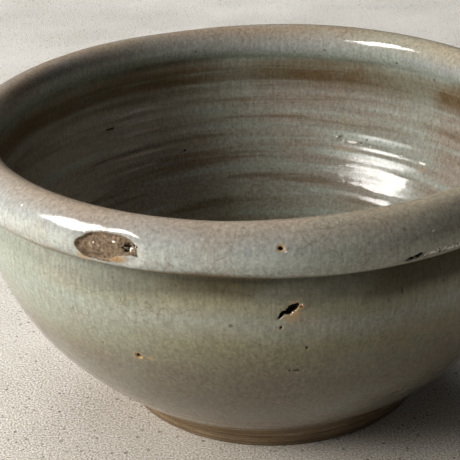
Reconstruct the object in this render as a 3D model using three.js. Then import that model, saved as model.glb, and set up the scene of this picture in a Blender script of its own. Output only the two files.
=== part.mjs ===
// A wide stoneware basin, thrown in sections and luted into one pot before firing.
// Millimetres, +Z up. The origin is the middle of the foot, on the surface it stands on.
// Every section is a body of revolution about the Z axis.

import * as THREE from 'three';

// ---- driving dimensions ----

const RIM_RADIUS = 200;            // outermost point of the rolled rim
const FOOT_RADIUS = 105.5;         // outside of the foot
const FOOT_WIDTH = 15.5;           // breadth of the ring the pot stands on
const FOOT_HEIGHT = 9;
const FOOT_EASE = 1.5;             // rounding of the foot's lower edges
const RECESS_HEIGHT = 4;           // underside of the base, above the ground
const FLOOR_HEIGHT = 16;           // inside face of the base at the centre
const BASE_TOP = 27;               // where the lower wall is luted on to the base
const BELLY_JOINT = 112;           // where the upper wall is luted on to the lower wall
const NECK_HEIGHT = 167;           // where the rim sits on the upper wall
const NECK_RADIUS = 186;           // outside of the neck, under the rim
const NECK_THICKNESS = 9.5;

const RIM_HALF_WIDTH = 13;         // the rolled rim is an ellipse in section
const RIM_HALF_HEIGHT = 16;
const RIM_LEAN = THREE.MathUtils.degToRad(27);   // its long axis leans in towards the top
const RIM_CENTRE_HEIGHT = 182.6;

const LUTING_GAP = 0.3;            // clearance between sections that touch
const AROUND = 64;                 // facets round each turned section
const WALL_STEPS = 8;              // facets up each wall face
const RIM_STEPS = 20;              // facets round the rim's section

// ---- shared curves of the wall ----

// Outside of the wall, from the foot up to the neck: flared low down, full at the
// belly, and drawn in a little under the rim.
const outerWall = new THREE.SplineCurve([
  new THREE.Vector2(FOOT_RADIUS, FOOT_HEIGHT),
  new THREE.Vector2(137, 38),
  new THREE.Vector2(166.5, 74),
  new THREE.Vector2(183, 112),
  new THREE.Vector2(189, 144),
  new THREE.Vector2(NECK_RADIUS, NECK_HEIGHT),
]);

// Inside of the wall, from the edge of the flat floor up to the neck.
const innerWall = new THREE.SplineCurve([
  new THREE.Vector2(58, FLOOR_HEIGHT),
  new THREE.Vector2(97, 21.5),
  new THREE.Vector2(127, 44),
  new THREE.Vector2(155.5, 79),
  new THREE.Vector2(173, 115),
  new THREE.Vector2(179.5, 144),
  new THREE.Vector2(NECK_RADIUS - NECK_THICKNESS, NECK_HEIGHT),
]);

// The place along a wall curve where it reaches a given height. Both curves climb all the way.
function placeAtHeight(curve, height) {
  let low = 0;
  let high = 1;
  for (let step = 0; step < 40; step += 1) {
    const middle = (low + high) / 2;
    if (curve.getPoint(middle).y < height) low = middle;
    else high = middle;
  }
  return (low + high) / 2;
}

// Points along a wall curve between two heights, in the order asked for.
function wallPoints(curve, fromHeight, toHeight, steps) {
  const from = placeAtHeight(curve, fromHeight);
  const to = placeAtHeight(curve, toHeight);
  const points = [];
  for (let step = 0; step <= steps; step += 1) {
    points.push(curve.getPoint(from + (to - from) * step / steps));
  }
  return points;
}

// ---- outlines, each as radius and height ----

function footOutline() {
  const inner = FOOT_RADIUS - FOOT_WIDTH;
  return [
    new THREE.Vector2(inner + FOOT_EASE, 0),
    new THREE.Vector2(FOOT_RADIUS - FOOT_EASE, 0),
    new THREE.Vector2(FOOT_RADIUS, FOOT_EASE),
    new THREE.Vector2(FOOT_RADIUS, FOOT_HEIGHT),
    new THREE.Vector2(inner, FOOT_HEIGHT),
    new THREE.Vector2(inner, FOOT_EASE),
  ];
}

// The base is a shallow dish: its middle drops into the foot ring and its edge sits on top of it.
function baseOutline() {
  const plugRadius = FOOT_RADIUS - FOOT_WIDTH - LUTING_GAP;
  const seat = FOOT_HEIGHT + LUTING_GAP;
  return [
    new THREE.Vector2(0, RECESS_HEIGHT),
    new THREE.Vector2(plugRadius, RECESS_HEIGHT),
    new THREE.Vector2(plugRadius, seat),
    ...wallPoints(outerWall, seat, BASE_TOP, 3),
    ...wallPoints(innerWall, BASE_TOP, FLOOR_HEIGHT, 5),
    new THREE.Vector2(0, FLOOR_HEIGHT),
  ];
}

// A ring of wall between two heights.
function wallOutline(bottom, top) {
  return [
    ...wallPoints(outerWall, bottom, top, WALL_STEPS),
    ...wallPoints(innerWall, top, bottom, WALL_STEPS),
  ];
}

// The rolled rim: an ellipse leaning inwards, with a flat seat where it meets the neck.
function rimOutline() {
  const seat = NECK_HEIGHT + LUTING_GAP;
  const neckInside = NECK_RADIUS - NECK_THICKNESS;
  const reach = Math.hypot(
    RIM_HALF_WIDTH * Math.cos(RIM_LEAN),
    RIM_HALF_HEIGHT * Math.sin(RIM_LEAN),
  );
  const roll = new THREE.EllipseCurve(0, 0, RIM_HALF_WIDTH, RIM_HALF_HEIGHT);
  const centre = new THREE.Vector2(RIM_RADIUS - reach, RIM_CENTRE_HEIGHT);
  const underside = -0.31;         // turns from the outward axis to the lowest point
  const insideNeck = 0.53;         // turns round to where the roll meets the inside of the neck
  const points = [
    new THREE.Vector2(neckInside, seat),
    new THREE.Vector2(NECK_RADIUS, seat),
  ];
  for (let step = 0; step <= RIM_STEPS; step += 1) {
    const turn = underside + (insideNeck - underside) * step / RIM_STEPS;
    const point = roll.getPoint((turn + 1) % 1);
    points.push(point.rotateAround(new THREE.Vector2(0, 0), RIM_LEAN).add(centre));
  }
  return points;
}

// ---- the sections as meshes ----

function turned(name, outline, material, closed) {
  const points = closed ? [...outline, outline[0].clone()] : outline;
  const section = new THREE.Mesh(new THREE.LatheGeometry(points, AROUND), material);
  section.name = name;
  section.rotation.x = Math.PI / 2;   // a lathe turns about Y; the pot turns about Z
  return section;
}

const glazeOverStoneware = { roughness: 0.32, metalness: 0 };
const bareClay = new THREE.MeshStandardMaterial({ color: 0x7a634b, roughness: 0.85, metalness: 0 });
const baseGlaze = new THREE.MeshStandardMaterial({ color: 0x8a8272, ...glazeOverStoneware });
const lowerGlaze = new THREE.MeshStandardMaterial({ color: 0x8b8878, ...glazeOverStoneware });
const upperGlaze = new THREE.MeshStandardMaterial({ color: 0x99998a, ...glazeOverStoneware });
const rimGlaze = new THREE.MeshStandardMaterial({ color: 0x95928a, ...glazeOverStoneware });

const basin = new THREE.Group();
basin.add(turned('foot_ring', footOutline(), bareClay, true));
basin.add(turned('base_dish', baseOutline(), baseGlaze, false));
basin.add(turned('lower_wall', wallOutline(BASE_TOP + LUTING_GAP, BELLY_JOINT), lowerGlaze, true));
basin.add(turned('upper_wall', wallOutline(BELLY_JOINT + LUTING_GAP, NECK_HEIGHT), upperGlaze, true));
basin.add(turned('rolled_rim', rimOutline(), rimGlaze, true));

export default basin;
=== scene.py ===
"""A wide stoneware basin with a rolled rim and a crackled grey-green glaze, built round its CAD frame.

Lengths are in metres. Every fired section is a fine grid turned about the Z axis: its rows follow the
pot's outline and its columns go round it. Grid points are pushed in or out along their normals to make
throwing rings, chips, pits and cracks, and point attributes tell the materials where bare clay, rust and
grit are, and where the hollows of pits, cracks and chips get painted shade.
"""
import math

import bpy
import numpy as np
from mathutils import Matrix, Vector


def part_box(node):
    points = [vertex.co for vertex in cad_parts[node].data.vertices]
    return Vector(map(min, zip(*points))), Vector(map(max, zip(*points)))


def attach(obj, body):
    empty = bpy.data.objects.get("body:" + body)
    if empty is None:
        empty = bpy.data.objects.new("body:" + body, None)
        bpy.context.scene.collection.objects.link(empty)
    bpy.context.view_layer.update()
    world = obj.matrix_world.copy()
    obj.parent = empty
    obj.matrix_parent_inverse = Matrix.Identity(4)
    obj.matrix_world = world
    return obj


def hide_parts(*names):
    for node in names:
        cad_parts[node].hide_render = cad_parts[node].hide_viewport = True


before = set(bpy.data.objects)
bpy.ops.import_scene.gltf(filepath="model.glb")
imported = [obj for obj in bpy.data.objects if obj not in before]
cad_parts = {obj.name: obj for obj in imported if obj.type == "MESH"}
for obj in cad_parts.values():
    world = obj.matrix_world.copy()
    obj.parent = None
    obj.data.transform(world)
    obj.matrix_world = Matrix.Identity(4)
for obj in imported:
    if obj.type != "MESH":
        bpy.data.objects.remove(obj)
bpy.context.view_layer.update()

MM = 0.001

# ---- sizes taken from the frame ----

FOOT_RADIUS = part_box("foot_ring")[1].x
FOOT_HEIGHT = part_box("foot_ring")[1].z
RECESS_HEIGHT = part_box("base_dish")[0].z
BASE_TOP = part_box("base_dish")[1].z
BELLY_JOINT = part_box("lower_wall")[1].z
NECK_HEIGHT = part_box("upper_wall")[1].z
RIM_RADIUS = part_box("rolled_rim")[1].x
RIM_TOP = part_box("rolled_rim")[1].z

# ---- the rest of the outline, as in the CAD model ----

FOOT_WIDTH = 15.5 * MM
FOOT_EASE = 1.5 * MM
FLOOR_HEIGHT = 16 * MM
FLOOR_EDGE = 58 * MM
NECK_RADIUS = 186 * MM
NECK_THICKNESS = 9.5 * MM
RIM_HALF_WIDTH = 13 * MM
RIM_HALF_HEIGHT = 16 * MM
RIM_LEAN = math.radians(27)
OUTER_WALL = [(137, 38), (166.5, 74), (183, 112), (189, 144)]
INNER_WALL = [(97, 21.5), (127, 44), (155.5, 79), (173, 115), (179.5, 144)]
RIM_SWEEP = (-112, 191)            # degrees round the rim's ellipse, from outside the neck to inside it
GROOVE_HEIGHT = 3.4 * MM           # a turned line round the foot
GROOVE_DEPTH = 0.3 * MM
GROOVE_WIDTH = 0.6 * MM

# ---- how fine the grids are ----

DENSE_STEP = 0.2 * MM
CURVE_STEPS = 60                   # points on each stretch of a wall's curve
RIM_STEPS = 200
SOFTEN = 0.9 * MM                  # how far the glaze rounds every corner of the outline
FOOT_SOFTEN = 6 * MM               # how far the wall's start above the foot is rounded
FOOT_BLEND = (8 * MM, 24 * MM)     # from that corner: that rounding is full up to here, and gone by there
STANDING_EDGE = 3.5 * MM           # below this height the foot keeps its own corners
CUT_ROWS = 3
# from this run on (mm from the rim's crest, negative outside), millimetres between rows
ROW_STEPS = [(-400, 2.3), (-119, 1.1), (-101, 1.6), (-86, 0.8), (-63, 1.3), (-42, 0.7), (-12, 1.1),
             (1, 0.6), (6, 1.1), (30, 1.5), (88, 0.9), (110, 2.3)]
# from this many degrees round the pot on, millimetres between columns
COLUMN_STEPS = [(-180, 1.7), (-152, 1.1), (-124, 0.6), (-106, 1.0), (-92, 0.6), (-80, 0.9), (-44, 1.8),
                (42, 1.1), (72, 1.8)]
RIM_COLUMN_STEPS = [(-180, 1.8), (-134, 1.1), (-124, 0.55), (-106, 1.1), (-70, 0.55), (-54, 1.1), (-40, 1.9)]
LOWER_COLUMN_STEPS = [(-180, 2.3), (-124, 0.8), (-109, 2.3), (-88, 0.8), (-81, 2.3), (42, 0.8), (74, 2.3)]
BASE_COLUMN_STEPS = [(-180, 2.6)]

# ---- hand-thrown unevenness ----

LEAN_AT_FOOT = Vector((3.0 * MM, 0, 0))
LEAN_AT_RIM = Vector((-3.2 * MM, 0, 0))
RINGS = ((8.5, 1.0, 0), (13.5, 0.8, 1), (5.3, 0.5, 2))     # overlapping rings: spacing in mm, share, seed
RING_HEIGHT_INSIDE = 0.115         # in mm
RING_HEIGHT_OUTSIDE = 0.03
FULLER_BELLY = 1.5 * MM            # how much further out the inside goes at its fullest
FOOT_FADE = 12 * MM                # the unevenness sets in over this much wall above the foot


def smooth(low, high, value):
    """0 below low, 1 above high, with a soft step between."""
    t = np.clip((value - low) / (high - low), 0, 1)
    return t * t * (3 - 2 * t)


def lattice_noise(points, cell, seed):
    """Smooth noise from -1 to 1 over an array of 3-D points, with lumps about cell across."""
    place = np.asarray(points) / cell + 4096.5
    corner = np.floor(place).astype(np.int64)
    part = place - corner
    part = part * part * (3 - 2 * part)
    total = np.zeros(place.shape[:-1])
    for dx in (0, 1):
        for dy in (0, 1):
            for dz in (0, 1):
                x, y, z = (corner[..., k] + d for k, d in enumerate((dx, dy, dz)))
                h = (x * 73856093) ^ (y * 19349663) ^ (z * 83492791) ^ (seed * 2654435761)
                h = (h ^ (h >> 13)) * 1274126177 & 0xFFFFFFFF
                h = (h ^ (h >> 16)) * 668265263 & 0xFFFFFFFF
                value = h / 0x7FFFFFFF - 1
                weight = np.ones(value.shape)
                for k, d in enumerate((dx, dy, dz)):
                    weight = weight * (part[..., k] if d else 1 - part[..., k])
                total += weight * value
    return total


# ---- the outline ----

def catmull_rom(points, steps):
    """A smooth curve through every point, with its ends doubled, as (n, 2) places."""
    p = np.array([points[0], *points, points[-1]], float)
    t = np.linspace(0, 1, steps, endpoint=False)[:, None]
    parts = []
    for a, b, c, d in zip(p, p[1:], p[2:], p[3:]):
        parts.append(b + 0.5 * t * (c - a + t * (2 * a - 5 * b + 4 * c - d + t * (3 * (b - c) + d - a))))
    return np.concatenate([*parts, p[-1:]])


def spread_evenly(line, step):
    """The same line with its points step apart, ends kept."""
    run = np.concatenate([[0], np.cumsum(np.hypot(*np.diff(line, axis=0).T))])
    places = np.linspace(0, run[-1], max(2, int(round(run[-1] / step)) + 1))
    return np.column_stack([np.interp(places, run, line[:, k]) for k in (0, 1)])


def soften(line, sigma, step):
    """Rounds the corners of an evenly spread line and keeps its ends in place."""
    reach = int(4 * sigma / step)
    kernel = np.exp(-0.5 * (np.arange(-reach, reach + 1) * step / sigma) ** 2)
    kernel /= kernel.sum()
    first = 2 * line[0] - line[reach:0:-1]
    last = 2 * line[-1] - line[-2:-reach - 2:-1]
    longer = np.concatenate([first, line, last])
    return np.column_stack([np.convolve(longer[:, k], kernel, "valid") for k in (0, 1)])


def outline():
    """Radius and height from the middle of the underside, out and up the outside, over the rim, and down
    the inside to the middle of the floor."""
    foot_inside = FOOT_RADIUS - FOOT_WIDTH
    foot = [(0, RECESS_HEIGHT), (foot_inside, RECESS_HEIGHT), (foot_inside, FOOT_EASE),
            (foot_inside + FOOT_EASE, 0), (FOOT_RADIUS - FOOT_EASE, 0), (FOOT_RADIUS, FOOT_EASE)]
    neck_inside = NECK_RADIUS - NECK_THICKNESS
    outer = catmull_rom([(FOOT_RADIUS, FOOT_HEIGHT), *np.array(OUTER_WALL) * MM,
                         (NECK_RADIUS, NECK_HEIGHT)], CURVE_STEPS)
    inner = catmull_rom([(FLOOR_EDGE, FLOOR_HEIGHT), *np.array(INNER_WALL) * MM,
                         (neck_inside, NECK_HEIGHT)], CURVE_STEPS)[::-1]
    turn = np.radians(np.linspace(*RIM_SWEEP, RIM_STEPS))
    wide, high = RIM_HALF_WIDTH * np.cos(turn), RIM_HALF_HEIGHT * np.sin(turn)
    c, s = math.cos(RIM_LEAN), math.sin(RIM_LEAN)
    rim = np.column_stack([c * wide - s * high, s * wide + c * high])
    rim += (RIM_RADIUS - math.hypot(RIM_HALF_WIDTH * c, RIM_HALF_HEIGHT * s),
            RIM_TOP - math.hypot(RIM_HALF_WIDTH * s, RIM_HALF_HEIGHT * c))
    line = spread_evenly(np.concatenate([foot, outer, rim, inner, [(0, FLOOR_HEIGHT)]]), DENSE_STEP)
    softer = soften(line, FOOT_SOFTEN, DENSE_STEP)
    corner = np.hypot(line[:, 0] - FOOT_RADIUS, line[:, 1] - FOOT_HEIGHT)
    share = 1 - smooth(*FOOT_BLEND, corner)[:, None] * np.ones(2)
    share[line[:, 1] < STANDING_EDGE] = 0
    return soften(line + share * (softer - line), SOFTEN, DENSE_STEP)


class Outline:
    """The whole outline with its normals, and the run along it: 0 at the rim's crest, negative outside."""

    def __init__(self):
        self.line = outline()
        along = np.gradient(self.line, axis=0)
        along /= np.hypot(*along.T)[:, None]
        self.normal = np.column_stack([along[:, 1], -along[:, 0]])
        self.crest = int(self.line[:, 1].argmax())
        run = np.concatenate([[0], np.cumsum(np.hypot(*np.diff(self.line, axis=0).T))])
        self.run = run - run[self.crest]

    def index(self, height, inside):
        """Where the wall passes a height: the last such place before the crest, or the first after it."""
        heights = self.line[:, 1]
        if inside:
            return self.crest + int(np.argmax(heights[self.crest:] <= height))
        return self.crest - int(np.argmax(heights[self.crest::-1] <= height))

    def at_run(self, run):
        """Radius, height and normal (as radius and height) at places given by their run."""
        return [np.interp(run, self.run, v) for v in (*self.line.T, *self.normal.T)]

    def run_at(self, height, inside):
        return self.run[self.index(height, inside)]


OUTLINE = Outline()
FOOT_START = OUTLINE.run[int(np.argmax(OUTLINE.line[:, 0] >= FOOT_RADIUS - FOOT_WIDTH - 0.3 * MM))]
FOOT_END = OUTLINE.run_at(FOOT_HEIGHT, False)
GROOVE = OUTLINE.run_at(GROOVE_HEIGHT, False)


# ---- scars: chips, pits, cracks and stains, each at an angle round the pot and a run along the outline ----

def scar_place(angle, height, side):
    """The angle in radians and the run of a spot on the outer wall, the inner wall or the rim."""
    if side == "rim":
        outside = np.flatnonzero((OUTLINE.line[:, 1] > NECK_HEIGHT) & (OUTLINE.run < 0)
                                 & (OUTLINE.line[:, 0] > NECK_RADIUS + 6 * MM))
        best = outside[np.abs(OUTLINE.line[outside, 1] - height * MM).argmin()]
        return math.radians(angle), OUTLINE.run[best]
    return math.radians(angle), OUTLINE.run_at(height * MM, side == "inside")


# angle in degrees, height in mm, side, half length mm, half width mm, tilt in degrees, depth mm
CHIP = (-115.0, 181.5, "rim", 20.5, 10.3, 4, 2.4)
CHIP_PIT = (-110.9, 184.8, "rim", 5.6, 4.0, 6, 1.2)
CHIP_GLAZE = (-111.3, 175.0, "rim", 12.5, 4.6, 8)          # a glazed lobe that runs into the chip
GASH = (-86.1, 146.0, "outside", 8.4, 1.45, 36, 3.2)
SEAM_GAP = (-65.4, 174.0, "rim", 6.5, 1.7, 14, 3.2)
INNER_CHIP = (69.4, 110.7, "inside", 3.3, 2.5, -20, 1.4)

# the glaze edge sinks towards the chip: bearing in degrees round it and slope, over a width in mm
CHIP_ROLL = ((-180, -90, -45, 0, 45, 90, 180), (0.05, 0.05, 0.3, 0.24, 0.16, 0.06, 0.05))
CHIP_ROLL_WIDTH = 4.5

# small round pits: angle, height in mm, side, radius in mm, how rusty
PITS = [
    (-86.8, 188.6, "rim", 1.5, 0.8), (-98.3, 194.0, "rim", 0.7, 0.0), (-87.3, 135.5, "outside", 1.0, 0.5),
    (-83.0, 120.0, "outside", 0.8, 0.0), (-114.3, 105.3, "outside", 2.1, 0.7),
    (-121.7, 108.5, "outside", 0.9, 0.3), (95.9, 171.4, "inside", 1.0, 0.3),
    (125.6, 157.0, "inside", 0.8, 0.0), (112.1, 105.0, "inside", 0.8, 0.0),
    (-86.0, 103.0, "outside", 0.7, 0.0), (51.2, 160.0, "inside", 0.6, 0.0),
]
# short dark slits: angle, height in mm, side, half length mm, half width mm, tilt in degrees
SLITS = [
    (-84.9, 102.2, "outside", 2.4, 0.6, 12), (-66.0, 150.0, "outside", 2.6, 0.5, 82),
    (131.4, 133.0, "inside", 6.0, 0.7, 4), (-118.5, 196.5, "rim", 1.0, 0.5, 0),
    (72.0, 195.0, "rim", 1.0, 0.4, 0), (63.7, 109.6, "inside", 1.6, 0.5, 0),
    (-77.1, 197.75, "inside", 2.4, 0.4, 2), (-70.3, 197.75, "inside", 5.0, 0.45, -2),
    (-63.3, 197.75, "inside", 8.0, 0.4, 1),
]
# stains, ochre when weak and rust when strong: angle, height, side, half length, half width, strength
STAINS = [
    (-119.6, 173.2, "rim", 5.2, 4.6, 0.62), (-113.3, 175.6, "rim", 8.0, 4.6, 0.75),
    (-83.9, 148.6, "outside", 2.5, 1.6, 1.0), (-85.6, 141.8, "outside", 7.5, 4.6, 0.42),
    (-85.0, 144.6, "outside", 6.0, 1.4, 0.62), (-111.8, 104.8, "outside", 3.6, 2.4, 0.62),
    (-114.2, 104.4, "outside", 3.6, 3.0, 0.5), (44.7, 100.2, "inside", 4.5, 3.0, 0.34),
    (68.6, 126.0, "inside", 6.0, 7.0, 0.2), (80.0, 103.5, "inside", 16.0, 2.4, 0.2),
    (68.5, 103.8, "inside", 15.0, 2.4, 0.32), (-60.0, 172.5, "rim", 9.0, 3.0, 0.2),
    (70.5, 146.0, "inside", 3.0, 4.0, 0.22),
]
# pale grit and the bright edge of the chip inside: angle, height in mm, side, half length mm, half width mm
PALE_SPECKS = [
    (-117.5, 183.8, "rim", 0.7, 0.6), (-113.8, 186.6, "rim", 1.3, 0.9), (-133.1, 191.8, "rim", 0.9, 0.8),
    (-62.0, 186.8, "rim", 0.8, 0.6), (-86.1, 187.0, "rim", 1.3, 0.6), (70.5, 112.0, "inside", 1.0, 1.1),
    (66.0, 109.2, "inside", 5.4, 1.0), (44.9, 105.2, "inside", 4.2, 1.0), (61.0, 108.0, "inside", 0.9, 0.7),
    (51.6, 106.5, "inside", 1.2, 0.5), (-83.6, 150.0, "outside", 0.8, 0.5),
]
SEAM_FROM, SEAM_TO = -68.0, -40.0     # the luted seam under the rim shows between these angles

# the sides that the main view doesn't reach have small pits of their own
PIT_HEIGHTS = {"outside": (30, 160), "inside": (30, 160), "rim": (176, 197)}
SMALLEST_PIT = 0.6
# how many, the angles that each side spreads them over, the largest radius in mm, the most rust
OTHER_PITS = [
    (26, {"outside": (-40, 45), "inside": (-150, -20), "rim": (-40, 45)}, 1.3, 0.7),
    (20, {"outside": (45, 215), "rim": (45, 215)}, 1.4, 0.8),
]

random = np.random.default_rng(7)
for how_many, reach, largest, rustiest in OTHER_PITS:
    for _ in range(how_many):
        pit_side = list(reach)[int(random.integers(len(reach)))]
        pit_angle = float(random.uniform(*reach[pit_side]))
        pit_height = float(random.uniform(*PIT_HEIGHTS[pit_side]))
        pit_radius = float(random.uniform(SMALLEST_PIT, largest))
        PITS.append((pit_angle, pit_height, pit_side, pit_radius, float(random.uniform(0, rustiest))))


class Surface:
    """Grid points over a stretch of the outline, rows by columns: places, outward normals, run and angle."""

    def __init__(self, run, angles):
        self.run, self.angle = np.meshgrid(run, angles, indexing="ij")
        radius, height, out, up = (v[:, None] for v in OUTLINE.at_run(run))
        c, s = np.cos(angles)[None], np.sin(angles)[None]
        self.radius = np.broadcast_to(radius, self.run.shape)
        self.place = np.stack([radius * c, radius * s, height + 0 * c], -1)
        self.normal = np.stack([out * c, out * s, up + 0 * c], -1)

    def local(self, angle, height, side, tilt=0):
        """Distances from a spot, along its length and across it, in millimetres."""
        spot_angle, spot_run = scar_place(angle, height, side)
        around = (self.angle - spot_angle + math.pi) % (2 * math.pi) - math.pi
        across = around * np.maximum(self.radius, 20 * MM) / MM
        along = (self.run - spot_run) / MM
        c, s = math.cos(math.radians(tilt)), math.sin(math.radians(tilt))
        far = np.abs(around) > 1
        return np.where(far, 999, c * across + s * along), np.where(far, 999, c * along - s * across)

    def distance(self, angle, height, side, length, width, tilt=0, rough=0.0, cell=4.0, seed=0):
        """1 on an ellipse round the spot, less inside it, with a ragged edge."""
        u, v = self.local(angle, height, side, tilt)
        d = np.hypot(u / length, v / width)
        if rough:
            d = d + rough * lattice_noise(self.place, cell * MM, seed)
        return d


def thrown_relief(g):
    """Throwing rings and the slow unevenness of a hand-thrown pot, in metres."""
    inside = smooth(30 * MM, 60 * MM, g.run)
    outside = smooth(-52 * MM, -80 * MM, g.run)
    rings = np.zeros(g.run.shape)
    for spacing, share, seed in RINGS:
        drift = lattice_noise(g.place, 70 * MM, 20 + seed) * 2.2
        rings += share * np.sin(2 * math.pi * g.run / (spacing * MM) + drift)
    slow = lattice_noise(g.place, 130 * MM, 3) * 0.9 * MM + lattice_noise(g.place, 45 * MM, 4) * 0.28 * MM
    lumps = lattice_noise(g.place, 14 * MM, 5) * 0.09 * MM + lattice_noise(g.place, 6 * MM, 6) * 0.03 * MM
    fuller = FULLER_BELLY * smooth(72 * MM, 110 * MM, g.run) * (1 - smooth(118 * MM, 165 * MM, g.run))
    fade = smooth(FOOT_END, FOOT_END + FOOT_FADE, g.run)
    ring_height = RING_HEIGHT_INSIDE * inside + RING_HEIGHT_OUTSIDE * outside
    return fade * slow - fuller + lumps + rings * ring_height * MM


class Scars:
    """What the scars do to a surface: its depth in millimetres, and what shows there, from 0 to 1."""

    def __init__(self, surface):
        self.surface = surface
        self.depth = np.zeros(surface.run.shape)
        self.shares = {kind: np.zeros(surface.run.shape) for kind in ("clay", "rust", "grit", "hollow")}

    def show(self, kind, amount):
        self.shares[kind] = np.maximum(self.shares[kind], amount)


def add_chip(scars):
    """The big chip on the rim: rough clay in a shallow hollow that the glaze round it sinks towards."""
    g = scars.surface
    angle, height, side, length, width, tilt, deep = CHIP
    d = g.distance(angle, height, side, length, width, tilt, rough=0.07, cell=5, seed=11)
    lobe = g.distance(*CHIP_GLAZE, rough=0.1, cell=4, seed=10)
    d = np.maximum(d, 1.9 - lobe)
    hollow = 1 - smooth(0.86, 1.0, d)
    floor = deep * (0.75 + 0.35 * (1 - d.clip(0, 1) ** 2))
    floor += 0.65 * lattice_noise(g.place, 4.5 * MM, 12) + 0.5 * lattice_noise(g.place, 1.8 * MM, 13)
    scars.depth += hollow * floor
    scars.show("clay", 1 - smooth(0.92, 1.02, d))

    edge = g.distance(angle, height, side, length, width, tilt)
    u, v = g.local(angle, height, side, tilt)
    gap = np.hypot(u, v) * (1 - 1 / np.maximum(edge, 0.1))
    slope = np.interp(np.degrees(np.arctan2(v, u)), *CHIP_ROLL)
    scars.depth += slope * (CHIP_ROLL_WIDTH - gap).clip(0, CHIP_ROLL_WIDTH) * (1 - hollow)

    *pit_place, pit_deep = CHIP_PIT
    pit = g.distance(*pit_place, rough=0.35, cell=2.2, seed=14)
    scars.depth += pit_deep * (1 - smooth(0.5, 1.0, pit)) * hollow
    in_pit = 1 - smooth(0.7, 1.0, pit)
    pebbles = lattice_noise(g.place, 1.1 * MM, 15)
    # painted shade darkens the chip's pit between its pale grit
    scars.show("hollow", in_pit * smooth(-0.1, 0.2, pebbles))
    scars.show("grit", 0.8 * in_pit * smooth(0.3, 0.55, -pebbles))
    # painted shade along the inner edge of the chip's hollow
    broken = smooth(-0.2, 0.4, lattice_noise(g.place, 2.2 * MM, 9))
    scars.show("hollow", 0.6 * hollow * smooth(0.6, 0.95, d) * broken)


def add_gash(scars):
    """The gash in the wall: a slit that narrows to both ends, with a burnt edge and a lip at one end."""
    g = scars.surface
    angle, height, side, length, width, tilt, deep = GASH
    u, v = g.local(angle, height, side, tilt)
    v = v + 0.8 * lattice_noise(g.place, 2.6 * MM, 16) + 0.6 * lattice_noise(g.place, 1.5 * MM, 26)
    d = np.hypot(u / length, v / (width * (1.15 + 0.5 * np.sin(u / length * 2.2 + 0.4))))
    slit = 1 - smooth(0.55, 1.0, d)
    scars.depth += deep * slit
    # painted shade inside the slit
    scars.show("hollow", 1 - smooth(0.8, 1.1, d))
    burnt = 1 - smooth(1.0, 2.1, d + 0.7 * lattice_noise(g.place, 1.6 * MM, 27))
    burnt *= smooth(1.05, 0.75, np.abs(u) / length)
    scars.show("rust", burnt * (0.25 + 0.6 * smooth(-0.4, 0.8, u / length - 0.3 * v / width)))
    lip = g.distance(angle + 2.9, height + 3.2, side, 3.0, 2.2, tilt, rough=0.3, cell=2.5, seed=17)
    scars.depth -= 0.35 * (1 - smooth(0.4, 1.1, lip)) * (1 - slit)


def add_seam(scars):
    """The seam under the rim, open at one end and gritty further round."""
    g = scars.surface
    *gap_place, gap_deep = SEAM_GAP
    degrees = np.degrees(g.angle)
    _, seam_run = scar_place(SEAM_FROM, SEAM_GAP[1], "rim")
    wander = 0.8 * lattice_noise(g.place, 9 * MM, 18) + 0.5 * lattice_noise(g.place, 3 * MM, 19)
    off = np.abs((g.run - seam_run) / MM + wander)
    where = smooth(SEAM_FROM + 3, SEAM_FROM + 5, degrees) * (1 - smooth(SEAM_TO - 8, SEAM_TO, degrees))
    crack = where * (1 - smooth(1.2, 2.2, off))
    scars.depth += 1.0 * crack
    grit = lattice_noise(g.place, 1.0 * MM, 23)
    scars.show("grit", crack * smooth(-0.2, 0.1, grit))
    # painted shade in the crack between the grit
    scars.show("hollow", crack * smooth(0.15, 0.45, -grit))
    d = g.distance(*gap_place, rough=0.28, cell=3, seed=24)
    scars.depth += gap_deep * (1 - smooth(0.6, 1.0, d))
    # painted shade in the seam's open gap
    scars.show("hollow", 1 - smooth(0.8, 1.05, d))


def add_inner_chip(scars):
    """The small chip inside."""
    *place, deep = INNER_CHIP
    d = scars.surface.distance(*place, rough=0.3, cell=2.5, seed=25)
    scars.depth += deep * (1 - smooth(0.5, 1.05, d))
    # painted shade in the small chip
    scars.show("hollow", 0.45 * (1 - smooth(0.6, 1.0, d)))


def add_small_scars(scars):
    """Every pit, slit, stain and pale speck in the tables."""
    g = scars.surface
    for k, (angle, height, side, radius, rusty) in enumerate(PITS):
        d = g.distance(angle, height, side, radius, radius, rough=0.18, cell=1.5, seed=40 + k)
        scars.depth += 1.1 * radius * (1 - smooth(0.3, 1.1, d))
        scars.depth -= 0.1 * radius * smooth(2.0, 1.3, d) * smooth(0.9, 1.3, d)
        # painted shade inside each pit
        scars.show("hollow", 1 - smooth(0.6, 1.0, d))
        scars.show("rust", rusty * (1 - smooth(0.8, 2.2, d)))
    for k, (angle, height, side, length, width, tilt) in enumerate(SLITS):
        d = g.distance(angle, height, side, length, width, tilt, rough=0.2, cell=2, seed=80 + k)
        scars.depth += 0.9 * width * (1 - smooth(0.3, 1.1, d))
        # painted shade inside each slit
        scars.show("hollow", 0.9 * (1 - smooth(0.6, 1.1, d)))
    for k, (angle, height, side, length, width, strength) in enumerate(STAINS):
        d = g.distance(angle, height, side, length, width, 0, rough=0.3, cell=4, seed=90 + k)
        scars.show("rust", strength * (1 - smooth(0.3, 1.15, d)))
    for k, (angle, height, side, length, width) in enumerate(PALE_SPECKS):
        d = g.distance(angle, height, side, length, width, 0, rough=0.15, cell=1.5, seed=110 + k)
        scars.show("grit", 1 - smooth(0.6, 1.1, d))
        scars.depth -= 0.25 * (1 - smooth(0.5, 1.1, d))


def scarred_relief(g):
    """Depth of every scar in metres, and how much bare clay, rust, grit and painted shade in the hollows
    each point shows.
    """
    scars = Scars(g)
    for add in (add_chip, add_gash, add_seam, add_inner_chip, add_small_scars):
        add(scars)
    return scars.depth * MM, scars.shares


# ---- grids into pieces ----

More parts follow.
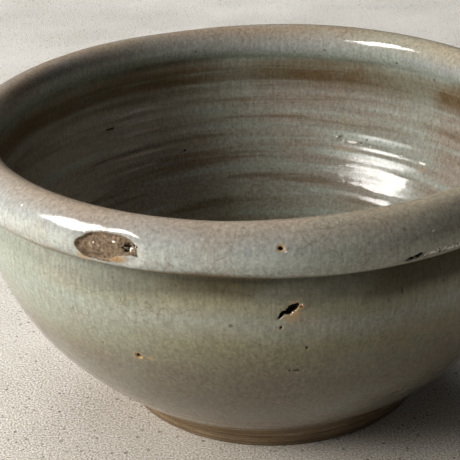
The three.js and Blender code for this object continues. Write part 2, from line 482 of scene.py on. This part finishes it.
def spaced(table, start, end):
    """Places from start to end as far apart as a table of (from, step) says."""
    fine = np.linspace(start, end, 6001)
    borders, steps = zip(*table)
    step = np.array(steps)[np.searchsorted(borders, fine, side="right") - 1]
    count = np.concatenate([[0], np.cumsum(np.abs(np.diff(fine)) * 2 / (step[1:] + step[:-1]))])
    total = max(1, int(round(count[-1])))
    return np.interp(np.linspace(0, count[-1], total + 1), count, fine)


def column_angles(table):
    """Angles of the columns round the pot."""
    degree = math.radians(1) * RIM_RADIUS / MM
    return np.radians(spaced([(start, step / degree) for start, step in table], -180, 180)[:-1])


def lean(place):
    """Shifts each point sideways by its height, because the rim isn't quite centred over the foot."""
    share = (place[..., 2:3] / RIM_TOP).clip(0, 1)
    return place + np.array(LEAN_AT_FOOT) * (1 - share) + np.array(LEAN_AT_RIM) * share


def skin_rows(start, end, angles):
    """Rows of finished points between two runs, and their attributes."""
    g = Surface(spaced(ROW_STEPS, start / MM, end / MM) * MM, angles)
    depth, marks = scarred_relief(g)
    relief = thrown_relief(g)
    marks["run"] = g.run
    # the turned foot is even, but for its groove
    turned = smooth(FOOT_START - 6 * MM, FOOT_START, g.run)
    turned = turned * (1 - smooth(FOOT_END, FOOT_END + 14 * MM, g.run))
    relief *= 1 - turned
    relief -= GROOVE_DEPTH * np.exp(-((g.run - GROOVE) / GROOVE_WIDTH) ** 2)
    return lean(g.place + g.normal * (relief - depth)[..., None]), marks


def cut_rows(before, after, corners, angles):
    """Rows across a joint face, from the last skin row to the next, by way of plain corners."""
    stops = [before]
    for radius, height in corners:
        ring = np.stack([radius * np.cos(angles), radius * np.sin(angles), np.full(len(angles), height)], -1)
        stops.append(lean(ring))
    stops.append(after)
    rows = []
    for a, b in zip(stops, stops[1:]):
        for k in range(1, CUT_ROWS + 1):
            rows.append(a + (b - a) * k / CUT_ROWS)
    return rows[:-1]


def build_piece(name, stretches, cuts, angles, poles=False):
    """A closed mesh from stretches of skin joined by cuts. stretches are (start run, end run)."""
    places, marks = [], []
    skins = [skin_rows(*s, angles) for s in stretches]
    for k, (place, mark) in enumerate(skins):
        places += list(place)
        marks += [{key: value[i] for key, value in mark.items()} for i in range(len(place))]
        last = k == len(skins) - 1
        if last and poles:
            break
        following = skins[0 if last else k + 1][0][0]
        rows = cut_rows(place[-1], following, cuts[k], angles)
        places += rows
        marks += [{key: value[-1] * (key == "run") for key, value in mark.items()}] * len(rows)
    count, around = len(places), len(angles)
    points = np.array(places).reshape(-1, 3)
    attributes = {key: np.array([m[key] for m in marks]).ravel() for key in marks[0]}
    rows = np.arange(count - 1 if poles else count)
    i, j = np.meshgrid(rows, np.arange(around), indexing="ij")
    up, on = (i + 1) % count, (j + 1) % around
    quads = np.stack([i * around + j, i * around + on, up * around + on, up * around + j], -1).reshape(-1, 4)
    return mesh_object(name, points, quads, attributes, around if poles else 0)


def mesh_object(name, points, quads, attributes, pole_columns):
    """Makes the mesh. With poles, its first and last rows shrink to one vertex each."""
    mesh = bpy.data.meshes.new(name)
    faces = quads
    if pole_columns:
        n, total = pole_columns, len(points)
        merged = np.arange(total)
        merged[:n] = 0
        merged[total - n:] = total - n
        kept = np.concatenate([[0], np.arange(n, total - n + 1)])
        renumber = np.zeros(total, int)
        renumber[kept] = np.arange(len(kept))
        points[0] = points[:n].mean(0)
        points[total - n] = points[total - n:].mean(0)
        faces = renumber[merged[quads]]
        points = points[kept]
        attributes = {key: value[kept] for key, value in attributes.items()}
    sizes = np.full(len(faces), 4)
    loops = faces
    if pole_columns:
        flat, sizes = [], []
        for face in faces.tolist():
            corners = [v for k, v in enumerate(face) if v != face[k - 1]]
            flat += corners
            sizes.append(len(corners))
        loops, sizes = np.array(flat), np.array(sizes)
    starts = np.concatenate([[0], np.cumsum(sizes)[:-1]])
    mesh.vertices.add(len(points))
    mesh.vertices.foreach_set("co", points.astype(np.float32).ravel())
    mesh.loops.add(int(sizes.sum()))
    mesh.loops.foreach_set("vertex_index", loops.ravel().astype(np.int32))
    mesh.polygons.add(len(sizes))
    mesh.polygons.foreach_set("loop_start", starts.astype(np.int32))
    mesh.update(calc_edges=True)
    mesh.validate()
    for key, value in attributes.items():
        layer = mesh.attributes.new(key, "FLOAT", "POINT")
        layer.data.foreach_set("value", value.astype(np.float32))
    mesh.shade_smooth()
    mesh.set_sharp_from_angle(angle=math.radians(60))
    piece = bpy.data.objects.new(name, mesh)
    bpy.context.scene.collection.objects.link(piece)
    return piece


def run_out(height):
    return OUTLINE.run_at(height, False)


def run_in(height):
    return OUTLINE.run_at(height, True)


def make_pieces():
    """Every fired section, as (piece, the CAD node it stands for, material slot)."""
    underside, floor = OUTLINE.run[0], OUTLINE.run[-1]
    foot_corner = (FOOT_RADIUS - FOOT_WIDTH, FOOT_HEIGHT)
    tables = (RIM_COLUMN_STEPS, COLUMN_STEPS, LOWER_COLUMN_STEPS, BASE_COLUMN_STEPS)
    round_rim, round_upper, round_lower, round_base = (column_angles(table) for table in tables)
    over_rim = [(run_out(NECK_HEIGHT), run_in(NECK_HEIGHT))]
    upper_sides = [(run_out(BELLY_JOINT), run_out(NECK_HEIGHT)), (run_in(NECK_HEIGHT), run_in(BELLY_JOINT))]
    lower_sides = [(run_out(BASE_TOP), run_out(BELLY_JOINT)), (run_in(BELLY_JOINT), run_in(BASE_TOP))]
    base_sides = [(underside, FOOT_START), (FOOT_END, run_out(BASE_TOP)), (run_in(BASE_TOP), floor)]
    rim = build_piece("rolled_rim_glazed", over_rim, [[]], round_rim)
    upper = build_piece("upper_wall_glazed", upper_sides, [[], []], round_upper)
    lower = build_piece("lower_wall_glazed", lower_sides, [[], []], round_lower)
    base = build_piece("base_dish_glazed", base_sides, [[foot_corner], [], []], round_base, poles=True)
    foot = build_piece("foot_ring_fired", [(FOOT_START, FOOT_END)], [[foot_corner]], round_base)
    return [(rim, "rolled_rim", "rim_glaze"), (upper, "upper_wall", "wall_glaze"),
            (lower, "lower_wall", "wall_glaze"), (base, "base_dish", "base_glaze"),
            (foot, "foot_ring", "bare_clay")]


# ---- materials ----

def srgb(red, green, blue):
    """A colour given as 0 to 255 on screen, as linear light with alpha."""
    shares = [c / 255 for c in (red, green, blue)]
    return (*(c / 12.92 if c <= 0.04045 else ((c + 0.055) / 1.055) ** 2.4 for c in shares), 1)


class Nodes:
    """Short calls that add shader nodes to a material and join them up."""

    def __init__(self, name):
        self.material = bpy.data.materials.new(name)
        self.material.use_nodes = True
        self.tree = self.material.node_tree
        self.tree.nodes.clear()

    def add(self, kind, inputs=None, **settings):
        node = self.tree.nodes.new(kind)
        for key, value in settings.items():
            setattr(node, key, value)
        for key, value in (inputs or {}).items():
            self.feed(node.inputs[key], value)
        return node

    def feed(self, socket, value):
        if isinstance(value, bpy.types.NodeSocket):
            self.tree.links.new(value, socket)
        else:
            socket.default_value = value

    def attribute(self, name):
        return self.add("ShaderNodeAttribute", attribute_name=name).outputs["Fac"]

    def math(self, operation, a, b=0.0, c=0.0):
        return self.add("ShaderNodeMath", {0: a, 1: b, 2: c}, operation=operation).outputs[0]

    def step(self, value, low, high, out_low=0.0, out_high=1.0):
        """A soft step of a value between low and high."""
        inputs = {"Value": value, "From Min": low, "From Max": high, "To Min": out_low, "To Max": out_high}
        return self.add("ShaderNodeMapRange", inputs, interpolation_type="SMOOTHSTEP").outputs["Result"]

    def stretched(self, vector, scale):
        return self.add("ShaderNodeMapping", {"Vector": vector, "Scale": scale}).outputs["Vector"]

    def noise(self, vector, scale, detail=3.0, roughness=0.5):
        inputs = {"Vector": vector, "Scale": scale, "Detail": detail, "Roughness": roughness}
        return self.add("ShaderNodeTexNoise", inputs).outputs["Fac"]

    def voronoi(self, vector, scale, feature="F1"):
        return self.add("ShaderNodeTexVoronoi", {"Vector": vector, "Scale": scale}, feature=feature)

    def mix(self, factor, a, b, blend="MIX"):
        node = self.add("ShaderNodeMix", data_type="RGBA", blend_type=blend)
        self.feed(node.inputs[0], factor)
        self.feed(node.inputs[6], a)
        self.feed(node.inputs[7], b)
        return node.outputs[2]

    def overlay(self, factor, colour, grain, dark, light):
        """Darkens and lightens a colour by a grain. dark and light are (place in the grain, colour)."""
        return self.mix(factor, colour, self.ramp(grain, [dark, light]), "OVERLAY")

    def ramp(self, value, stops, interpolation="EASE"):
        """A colour ramp. stops are (position, colour)."""
        node = self.add("ShaderNodeValToRGB", {"Fac": value})
        node.color_ramp.interpolation = interpolation
        elements = node.color_ramp.elements
        while len(elements) < len(stops):
            elements.new(0.5)
        for element, (position, colour) in zip(elements, stops):
            element.position = position
            element.color = colour
        return node.outputs["Color"]

    def bump(self, height, distance, strength, normal=None):
        inputs = {"Height": height, "Distance": distance, "Strength": strength}
        if normal is not None:
            inputs["Normal"] = normal
        return self.add("ShaderNodeBump", inputs).outputs["Normal"]

    def finish(self, **inputs):
        """The surface shader. Keys are its socket names with spaces as underscores."""
        shader = self.add("ShaderNodeBsdfPrincipled", {k.replace("_", " "): v for k, v in inputs.items()})
        output = self.add("ShaderNodeOutputMaterial")
        self.tree.links.new(shader.outputs["BSDF"], output.inputs["Surface"])
        return self.material


PALE_SAGE = srgb(176, 179, 173)
OLIVE_SAGE = srgb(158, 158, 146)
PALE_BLUE = srgb(157, 163, 153)
OLIVE = srgb(142, 138, 114)
MAUVE = srgb(124, 117, 103)
INNER_MAUVE = srgb(150, 141, 131)
MAUVE_BLUE = srgb(162, 163, 160)
TAN = srgb(158, 142, 124)
PALE_TAN = srgb(163, 150, 136)
GREY_TAN = srgb(157, 150, 142)
BROWN = srgb(112, 95, 72)
# a darker olive glaze under the rim, made darker still as painted shade where the rim's overhang shades the
# wall
OLIVE_UNDER_RIM_AND_SHADE = srgb(88, 81, 59)
RIM_OLIVE = srgb(166, 160, 138)
IRON = srgb(52, 42, 32)
OCHRE = srgb(174, 144, 104)
RUST = srgb(112, 66, 34)
CLAY = srgb(120, 103, 84)
DARK_CLAY = srgb(54, 42, 30)
PALE_CLAY = srgb(172, 154, 130)
TOASTED_CLAY = srgb(142, 122, 96)
LOW_BROWN = srgb(124, 106, 82)
GRIT = srgb(226, 221, 212)
# near-black painted shade for the insides of pits, slits, cracks, the gash, the seam and the chips
HOLLOW_SHADE = srgb(16, 10, 6)
GRAIN_LIGHT = srgb(214, 214, 212)

# colours along the outline: millimetres from the rim's crest, negative outside
ZONES = [
    (-233, TOASTED_CLAY), (-222, TOASTED_CLAY), (-206, LOW_BROWN), (-178, MAUVE), (-122, MAUVE),
    # from -61 to -46, under the rim's overhang, the dark olive is partly the glaze's own colour and partly
    # painted shade
    (-94, OLIVE), (-78, OLIVE_SAGE), (-68, OLIVE), (-61, OLIVE_UNDER_RIM_AND_SHADE), (-46, OLIVE_UNDER_RIM_AND_SHADE), (-41, BROWN),
    (-38, BROWN), (-35, PALE_SAGE), (-27, PALE_SAGE),
    (-18, MAUVE_BLUE), (-10, GREY_TAN), (-3, PALE_TAN), (4, TAN), (12, GREY_TAN), (20, MAUVE_BLUE),
    # from 38 to 47, below the rim's inner lip, the brown is partly the glaze's own colour and partly painted
    # shade
    (28, PALE_BLUE), (33, MAUVE), (38, BROWN), (47, BROWN), (58, INNER_MAUVE), (130, INNER_MAUVE),
    (200, OLIVE),
]
ZONE_SPAN = 260 * MM                # the colour zones reach this far either side of the crest
STREAK_DRIFT = 10 * MM              # how much the streaks inside change round the pot
INSIDE = (0.03, 0.05)               # the run over which the rim's glaze becomes the inside's


def zone_colours(n, run):
    """The ramp that colours the glaze by its run along the outline."""
    position = n.math("MULTIPLY_ADD", run, 0.5 / ZONE_SPAN, 0.5)
    stops = [(0.5 + 0.5 * where * MM / ZONE_SPAN, colour) for where, colour in ZONES]
    return n.ramp(position, stops, "LINEAR")


def along_rings(n, place, run):
    """A place for textures that run round the pot: nearly the same all round, and changing with the run."""
    flat = n.add("ShaderNodeVectorMath", {0: place, 1: (1, 1, 0)}, operation="MULTIPLY").outputs[0]
    heading = n.add("ShaderNodeVectorMath", {0: flat}, operation="NORMALIZE").outputs[0]
    around = n.add("ShaderNodeVectorMath", {0: heading, "Scale": STREAK_DRIFT}, operation="SCALE").outputs[0]
    level = n.add("ShaderNodeCombineXYZ", {"Z": run}).outputs[0]
    return n.add("ShaderNodeVectorMath", {0: around, 1: level}, operation="ADD").outputs[0]


def crackle_net(n, place):
    """1 along the fine cracks in the glaze, which come and go over the surface."""
    bend = n.add("ShaderNodeTexNoise", {"Vector": place, "Scale": 60.0}).outputs["Color"]
    bent = n.add("ShaderNodeVectorMath", {0: bend, 1: (0.012, 0.012, 0.012), 2: place},
                 operation="MULTIPLY_ADD").outputs[0]
    net = n.voronoi(n.stretched(bent, (1, 1, 0.62)), 105, "DISTANCE_TO_EDGE").outputs["Distance"]
    fine_net = n.voronoi(n.stretched(bent, (1, 1, 0.7)), 240, "DISTANCE_TO_EDGE").outputs["Distance"]
    patchy = n.step(n.noise(place, 22, 2), 0.42, 0.66)
    fine = n.math("MULTIPLY", n.step(fine_net, 0.05, 0.0), 0.5)
    return n.math("MULTIPLY", n.math("MAXIMUM", n.step(net, 0.03, 0.0), fine), patchy)


def specks(n, place, per_metre, share, size):
    """1 on small round specks. Only a share of the cells has one, and their sizes differ."""
    cells = n.voronoi(place, per_metre)
    chance = n.add("ShaderNodeSeparateColor", {"Color": cells.outputs["Color"]})
    limit = n.math("MULTIPLY", chance.outputs["Green"], size)
    dot = n.step(n.math("SUBTRACT", limit, cells.outputs["Distance"]), 0.0, 0.06)
    return n.math("MULTIPLY", dot, n.math("LESS_THAN", chance.outputs["Red"], share))


def glaze_colour(n, place, run, rings, crackle):
    """The colours of the whole glaze: zones, patches, streaks, drips, specks and crackle."""
    is_inside = n.step(run, *INSIDE)
    sideways = n.add("ShaderNodeSeparateXYZ", {"Vector": place}).outputs["X"]

    # colour zones down the outside and the inside, their borders wandering a little
    wander = n.math("MULTIPLY_ADD", n.noise(place, 14, 3), 0.018, -0.009)
    colour = zone_colours(n, n.math("ADD", run, wander))

    # the outer wall is bluer on one side, and clouds of blue and of tan go over all
    blue_side = n.math("MULTIPLY", n.step(sideways, -0.02, -0.14), n.step(run, -0.12, -0.09))
    blue_side = n.math("MULTIPLY", blue_side, n.step(run, -0.03, -0.05))
    colour = n.mix(n.math("MULTIPLY", blue_side, 0.7), colour, PALE_BLUE)
    cloud = n.noise(place, 9, 4, 0.55)
    colour = n.mix(n.step(cloud, 0.5, 0.75, 0, 0.5), colour, PALE_BLUE)
    tan_cloud = n.noise(n.stretched(place, (1, 1, 1.6)), 13, 4, 0.6)
    colour = n.mix(n.step(tan_cloud, 0.54, 0.8, 0, 0.4), colour, TAN)

    # the rim is more olive on the other side
    on_rim = n.math("MULTIPLY", n.step(run, -0.044, -0.036), n.step(run, 0.022, 0.008))
    olive_side = n.math("MULTIPLY", n.step(sideways, -0.02, 0.12, 0, 0.5), on_rim)
    colour = n.mix(olive_side, colour, RIM_OLIVE)

    # streaks round the inside, bluer on that side too, and fine drips down the glaze
    colour = n.mix(n.math("MULTIPLY", n.step(rings, 0.5, 0.68, 0, 0.75), is_inside), colour, PALE_BLUE)
    colour = n.mix(n.math("MULTIPLY", n.step(rings, 0.49, 0.32, 0, 0.6), is_inside), colour, BROWN)
    bluer = n.math("MULTIPLY", is_inside, n.step(cloud, 0.42, 0.6))
    bluer = n.math("MULTIPLY", n.step(sideways, 0.06, 0.15), bluer)
    colour = n.mix(n.math("MULTIPLY", bluer, 0.6), colour, PALE_BLUE)
    drips = n.noise(n.stretched(place, (1, 1, 0.15)), 520, 4, 0.65)
    colour = n.overlay(0.2, colour, drips, (0.3, srgb(96, 94, 90)), (0.7, srgb(214, 214, 210)))
    mottle = n.noise(place, 420, 5, 0.7)
    colour = n.overlay(0.26, colour, mottle, (0.3, srgb(88, 86, 82)), (0.7, GRAIN_LIGHT))

    # iron specks and the fine net of crackle
    colour = n.mix(n.math("MULTIPLY", specks(n, place, 420, 0.2, 0.5), 0.22), colour, IRON)
    colour = n.mix(n.math("MULTIPLY", specks(n, place, 150, 0.06, 0.22), 0.55), colour, IRON)
    return n.mix(n.math("MULTIPLY", crackle, 0.5), colour, BROWN)


def scar_colours(n, place, colour):
    """The glaze colour with its scars over it, and how much bare clay and painted shade of the hollows there
    is.
    """
    ragged = n.math("MULTIPLY_ADD", n.noise(place, 900, 2, 0.6), 0.5, -0.25)
    rust = n.attribute("rust")
    stain = n.mix(n.step(n.math("ADD", rust, ragged), 0.72, 0.95), OCHRE, RUST)
    stain_edge = n.math("ADD", rust, n.math("MULTIPLY", ragged, 0.8))
    colour = n.mix(n.step(stain_edge, 0.0, 0.95), colour, stain)
    clay = n.step(n.math("ADD", n.attribute("clay"), ragged), 0.42, 0.58)
    clay_grain = n.noise(place, 480, 6, 0.75)
    colour = n.mix(clay, colour, n.ramp(clay_grain, [(0.3, DARK_CLAY), (0.5, CLAY), (0.74, PALE_CLAY)]))
    colour = n.mix(n.step(n.math("ADD", n.attribute("grit"), ragged), 0.3, 0.75), colour, GRIT)
    # painted shade in the hollows of the scars
    hollow = n.step(n.math("ADD", n.attribute("hollow"), ragged), 0.35, 0.65)
    return n.mix(hollow, colour, HOLLOW_SHADE), clay, hollow


def glaze(name):
    """Grey-green crackled glaze whose colours follow the run along the outline."""
    n = Nodes(name)
    place = n.add("ShaderNodeTexCoord").outputs["Object"]
    run = n.attribute("run")
    rings = n.noise(along_rings(n, place, run), 130, 4, 0.55)
    crackle = crackle_net(n, place)
    colour, clay, hollow = scar_colours(n, place, glaze_colour(n, place, run, rings, crackle))

    # glossy, but duller in patches, at the crackle, along some streaks inside, and rough in the scars
    dull_streaks = n.math("MULTIPLY", n.step(rings, 0.47, 0.62, 0, 0.16), n.step(run, *INSIDE))
    rough = n.math("MULTIPLY_ADD", n.noise(place, 30, 4, 0.6), 0.16, 0.02)
    rough = n.math("ADD", rough, n.math("MULTIPLY", crackle, 0.15))
    rough = n.math("ADD", rough, dull_streaks)
    rough = n.math("MAXIMUM", rough, n.math("MULTIPLY", clay, 0.92))
    rough = n.math("MAXIMUM", rough, n.math("MULTIPLY", hollow, 0.8))

    # fine relief: orange peel, ripples, crackle and the grain of bare clay
    peel = n.bump(n.noise(place, 420, 2, 0.5), 0.00012, 0.35)
    ripple = n.bump(n.noise(place, 75, 2, 0.5), 0.0008, 0.25, peel)
    relief = n.bump(n.math("MULTIPLY", crackle, -1.0), 0.00005, 0.4, ripple)
    grainy = n.bump(n.math("MULTIPLY", n.noise(place, 700, 4, 0.7), clay), 0.0012, 0.9, relief)
    return n.finish(Base_Color=colour, Roughness=rough, Normal=grainy, IOR=1.5)


def fired_clay(name):
    """Toasted bare stoneware, clouded, with turning marks, a dark groove and iron specks."""
    n = Nodes(name)
    place = n.add("ShaderNodeTexCoord").outputs["Object"]
    cloud = n.noise(place, 28, 4, 0.6)
    colour = n.ramp(cloud, [(0.3, srgb(126, 106, 80)), (0.5, TOASTED_CLAY), (0.7, srgb(154, 136, 110))])
    rings = n.noise(n.stretched(place, (0.05, 0.05, 1)), 500, 3, 0.6)
    colour = n.mix(n.step(rings, 0.5, 0.65, 0, 0.08), colour, srgb(92, 76, 56))
    groove = n.math("ABSOLUTE", n.math("SUBTRACT", n.attribute("run"), GROOVE))
    colour = n.mix(n.step(groove, 0.8 * MM, 0.3 * MM, 0, 0.45), colour, IRON)
    grain = n.noise(place, 900, 4, 0.7)
    colour = n.overlay(0.5, colour, grain, (0.3, srgb(90, 90, 90)), (0.7, srgb(196, 196, 196)))
    speck = n.voronoi(place, 320).outputs["Distance"]
    colour = n.mix(n.step(speck, 0.16, 0.1, 0, 0.6), colour, IRON)
    rough = n.math("MULTIPLY_ADD", cloud, 0.2, 0.62)
    return n.finish(Base_Color=colour, Roughness=rough, Normal=n.bump(grain, 0.0006, 0.7))


def pale_floor():
    """A pale studio floor of fine speckled concrete."""
    n = Nodes("studio_floor")
    place = n.add("ShaderNodeTexCoord").outputs["Object"]
    colour = n.ramp(n.noise(place, 5, 5, 0.6), [(0.3, srgb(200, 196, 191)), (0.7, srgb(212, 208, 203))])
    grain = n.noise(place, 760, 4, 0.8)
    colour = n.overlay(1.0, colour, grain, (0.36, srgb(56, 54, 52)), (0.64, GRAIN_LIGHT))
    colour = n.mix(n.math("MULTIPLY", specks(n, place, 340, 0.2, 0.5), 0.6), colour, srgb(84, 78, 72))
    return n.finish(Base_Color=colour, Roughness=0.85, Normal=n.bump(grain, 0.0006, 0.6))


# ---- studio ----

VIEW_DISTANCE = 0.8143              # camera from the pot's axis, along the floor
VIEW_HEIGHT = 0.4887
VIEW_PITCH = 26.0                   # degrees below the horizon
VIEW_HEADING = 0.55                 # degrees to the left
VIEW_ROLL = -1.25
VIEW_LENS = 102.3                   # in mm
VIEW_SHIFT = (-0.0652, 0.0435)
SENSOR_WIDTH = 36
FLOOR_HALF = 20.0
WORLD_COLOUR = srgb(226, 224, 220)
WORLD_STRENGTH = 0.01


def make_camera():
    data = bpy.data.cameras.new("camera")
    data.lens = VIEW_LENS
    data.sensor_width = SENSOR_WIDTH
    data.shift_x, data.shift_y = VIEW_SHIFT
    data.clip_start, data.clip_end = 0.01, 50
    camera = bpy.data.objects.new("camera", data)
    bpy.context.scene.collection.objects.link(camera)
    turn = (Matrix.Rotation(math.radians(VIEW_HEADING), 4, "Z")
            @ Matrix.Rotation(math.radians(90 - VIEW_PITCH), 4, "X")
            @ Matrix.Rotation(math.radians(VIEW_ROLL), 4, "Z"))
    camera.matrix_world = Matrix.Translation((LEAN_AT_FOOT.x, -VIEW_DISTANCE, VIEW_HEIGHT)) @ turn
    bpy.context.scene.camera = camera


def area_light(name, azimuth, elevation, distance, size, power, colour,
               mirrored=False, target=(0, 0, 0.1), roll=0, spread=180):
    """A soft light facing its target. Azimuth is from +Y towards +X, in degrees, and roll turns it about its
    own axis. Only mirrored lights show in the gloss. A smaller spread keeps a light to where it points."""
    a, e = math.radians(azimuth), math.radians(elevation)
    towards = Vector((math.sin(a) * math.cos(e), math.cos(a) * math.cos(e), math.sin(e)))
    data = bpy.data.lights.new(name, "AREA")
    data.shape = "RECTANGLE"
    data.size, data.size_y = size
    data.energy = power
    data.spread = math.radians(spread)
    data.color = colour
    light = bpy.data.objects.new(name, data)
    bpy.context.scene.collection.objects.link(light)
    light.location = Vector(target) + towards * distance
    turned = towards.to_track_quat("Z", "Y").to_matrix() @ Matrix.Rotation(math.radians(roll), 3, "Z")
    light.rotation_euler = turned.to_euler()
    light.visible_glossy = mirrored


def make_studio():
    mesh = bpy.data.meshes.new("studio_floor")
    half = FLOOR_HALF
    corners = [(-half, -half, 0), (half, -half, 0), (half, half, 0), (-half, half, 0)]
    mesh.from_pydata(corners, [], [(0, 1, 2, 3)])
    mesh.materials.append(pale_floor())
    floor = bpy.data.objects.new("studio_floor", mesh)
    bpy.context.scene.collection.objects.link(floor)
    area_light("window", -116, 30, 1.7, (0.86, 0.6), 28, (1.0, 0.985, 0.96), mirrored=True, roll=-20)
    area_light("bounce_behind", -60, 50, 4.0, (4.0, 4.0), 66, (0.93, 0.96, 1.0))
    area_light("bounce_low", -100, 12, 4.0, (4.0, 2.0), 37, (1.0, 1.0, 0.97), spread=110)
    area_light("fill_front", 160, 62, 4.0, (4.0, 4.0), 4, (1.0, 0.93, 0.82))
    area_light("floor_behind", -30, 60, 2.6, (3.0, 3.0), 124, (0.9, 0.95, 1.0),
               target=(0, 3.4, 0), spread=100)
    area_light("floor_before", 120, 70, 3.0, (4.0, 4.0), 34, (0.96, 0.98, 1.0),
               target=(3, -4, 0), spread=100)
    world = bpy.data.worlds.new("studio")
    world.use_nodes = True
    background = world.node_tree.nodes["Background"]
    background.inputs["Color"].default_value = WORLD_COLOUR
    background.inputs["Strength"].default_value = WORLD_STRENGTH
    bpy.context.scene.world = world
    bpy.context.scene.view_settings.view_transform = "Standard"
    bpy.context.scene.view_settings.look = "Medium High Contrast"


make_camera()
make_studio()
MATERIALS = {slot: glaze(slot) for slot in ("rim_glaze", "wall_glaze", "base_glaze")}
MATERIALS["bare_clay"] = fired_clay("bare_clay")
for piece, node, slot_name in make_pieces():
    piece.data.materials.append(MATERIALS[slot_name])
    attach(piece, "root")
    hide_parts(node)
